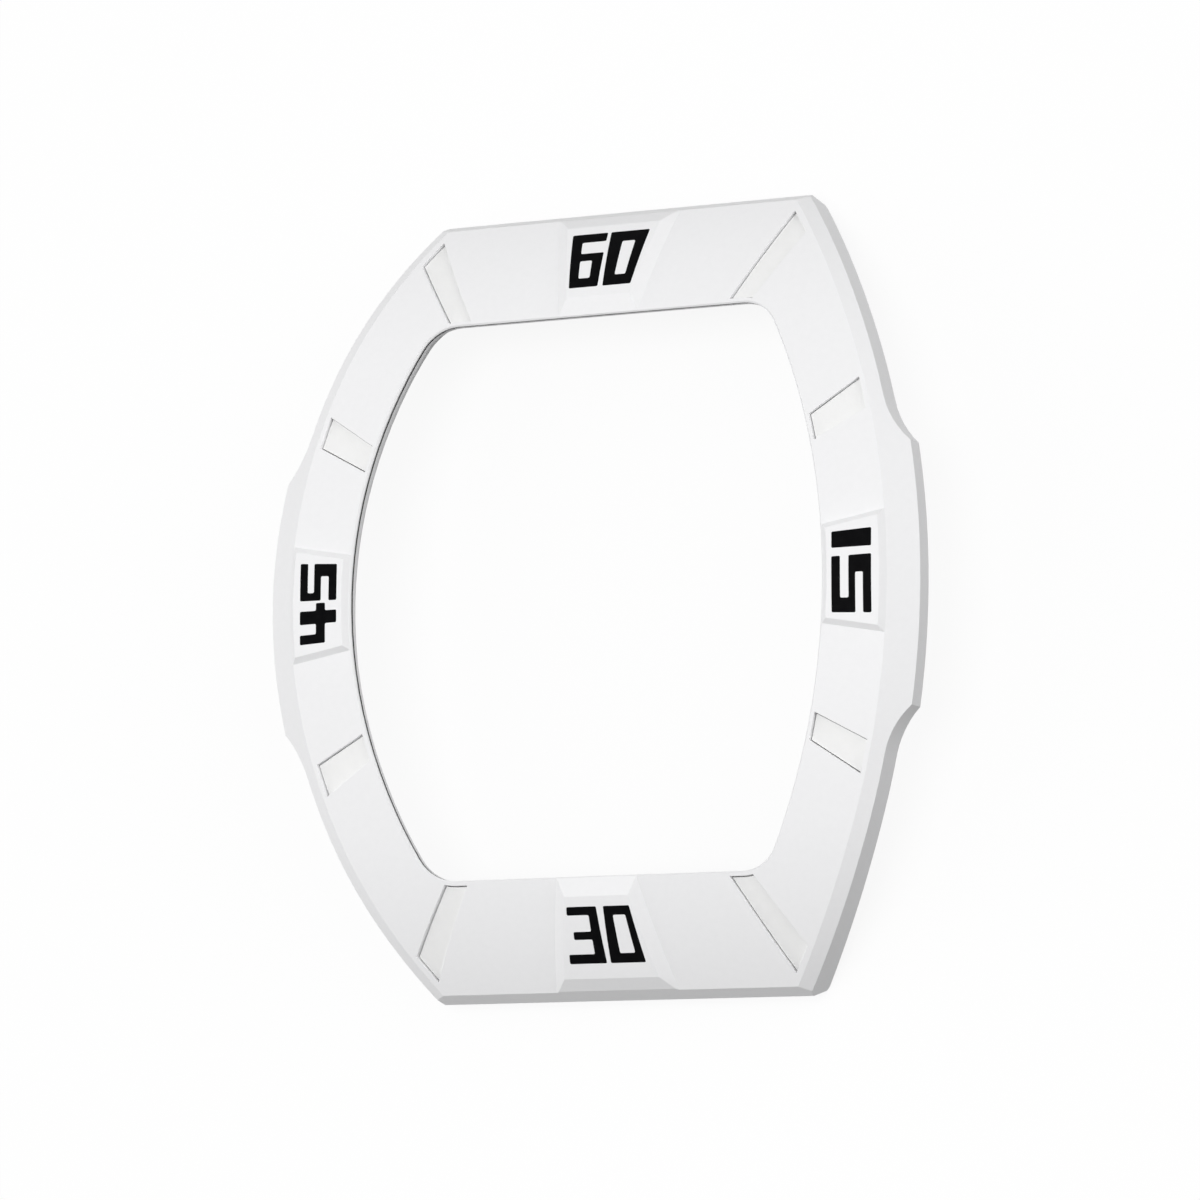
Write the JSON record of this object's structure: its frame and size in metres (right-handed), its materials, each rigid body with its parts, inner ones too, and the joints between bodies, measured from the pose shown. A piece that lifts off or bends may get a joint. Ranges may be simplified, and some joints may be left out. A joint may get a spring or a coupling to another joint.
{
  "type": "watch bezel",
  "caption": "Barrel-shaped white watch bezel with a bowed face, raised numbered pads, sunk hour marks, crown guards, a rear gasket and threaded bushes",
  "frame": {"origin": "on the plane of the two lands that the bezel lies on, under the middle of the plate", "axes": "+Z points out of the face, +Y to twelve o'clock and +X to three o'clock; the bezel lies face up"},
  "size_m": [0.0428, 0.0484, 0.0084],
  "materials": {
    "white_ceramic": "polished",
    "white_fill": "satin",
    "black_enamel": "gloss",
    "black_rubber": "matte",
    "bush_metal": "turned",
    "pin_steel": "ground"
  },
  "bodies": {
    "root": {"bezel_plate": "white_ceramic", "hour_marker_1": "white_fill", "hour_marker_2": "white_fill", "hour_marker_4": "white_fill", "hour_marker_5": "white_fill", "hour_marker_7": "white_fill", "hour_marker_8": "white_fill", "hour_marker_10": "white_fill", "hour_marker_11": "white_fill", "numeral_60_six": "black_enamel", "numeral_60_zero": "black_enamel", "numeral_15_one": "black_enamel", "numeral_15_five": "black_enamel", "numeral_30_three": "black_enamel", "numeral_30_zero": "black_enamel", "numeral_45_four": "black_enamel", "numeral_45_five": "black_enamel", "case_gasket": "black_rubber", "threaded_bush_1": "bush_metal", "threaded_bush_5": "bush_metal", "threaded_bush_7": "bush_metal", "threaded_bush_11": "bush_metal", "locating_pin_3": "pin_steel", "locating_pin_9": "pin_steel"}
  },
  "joints": []
}
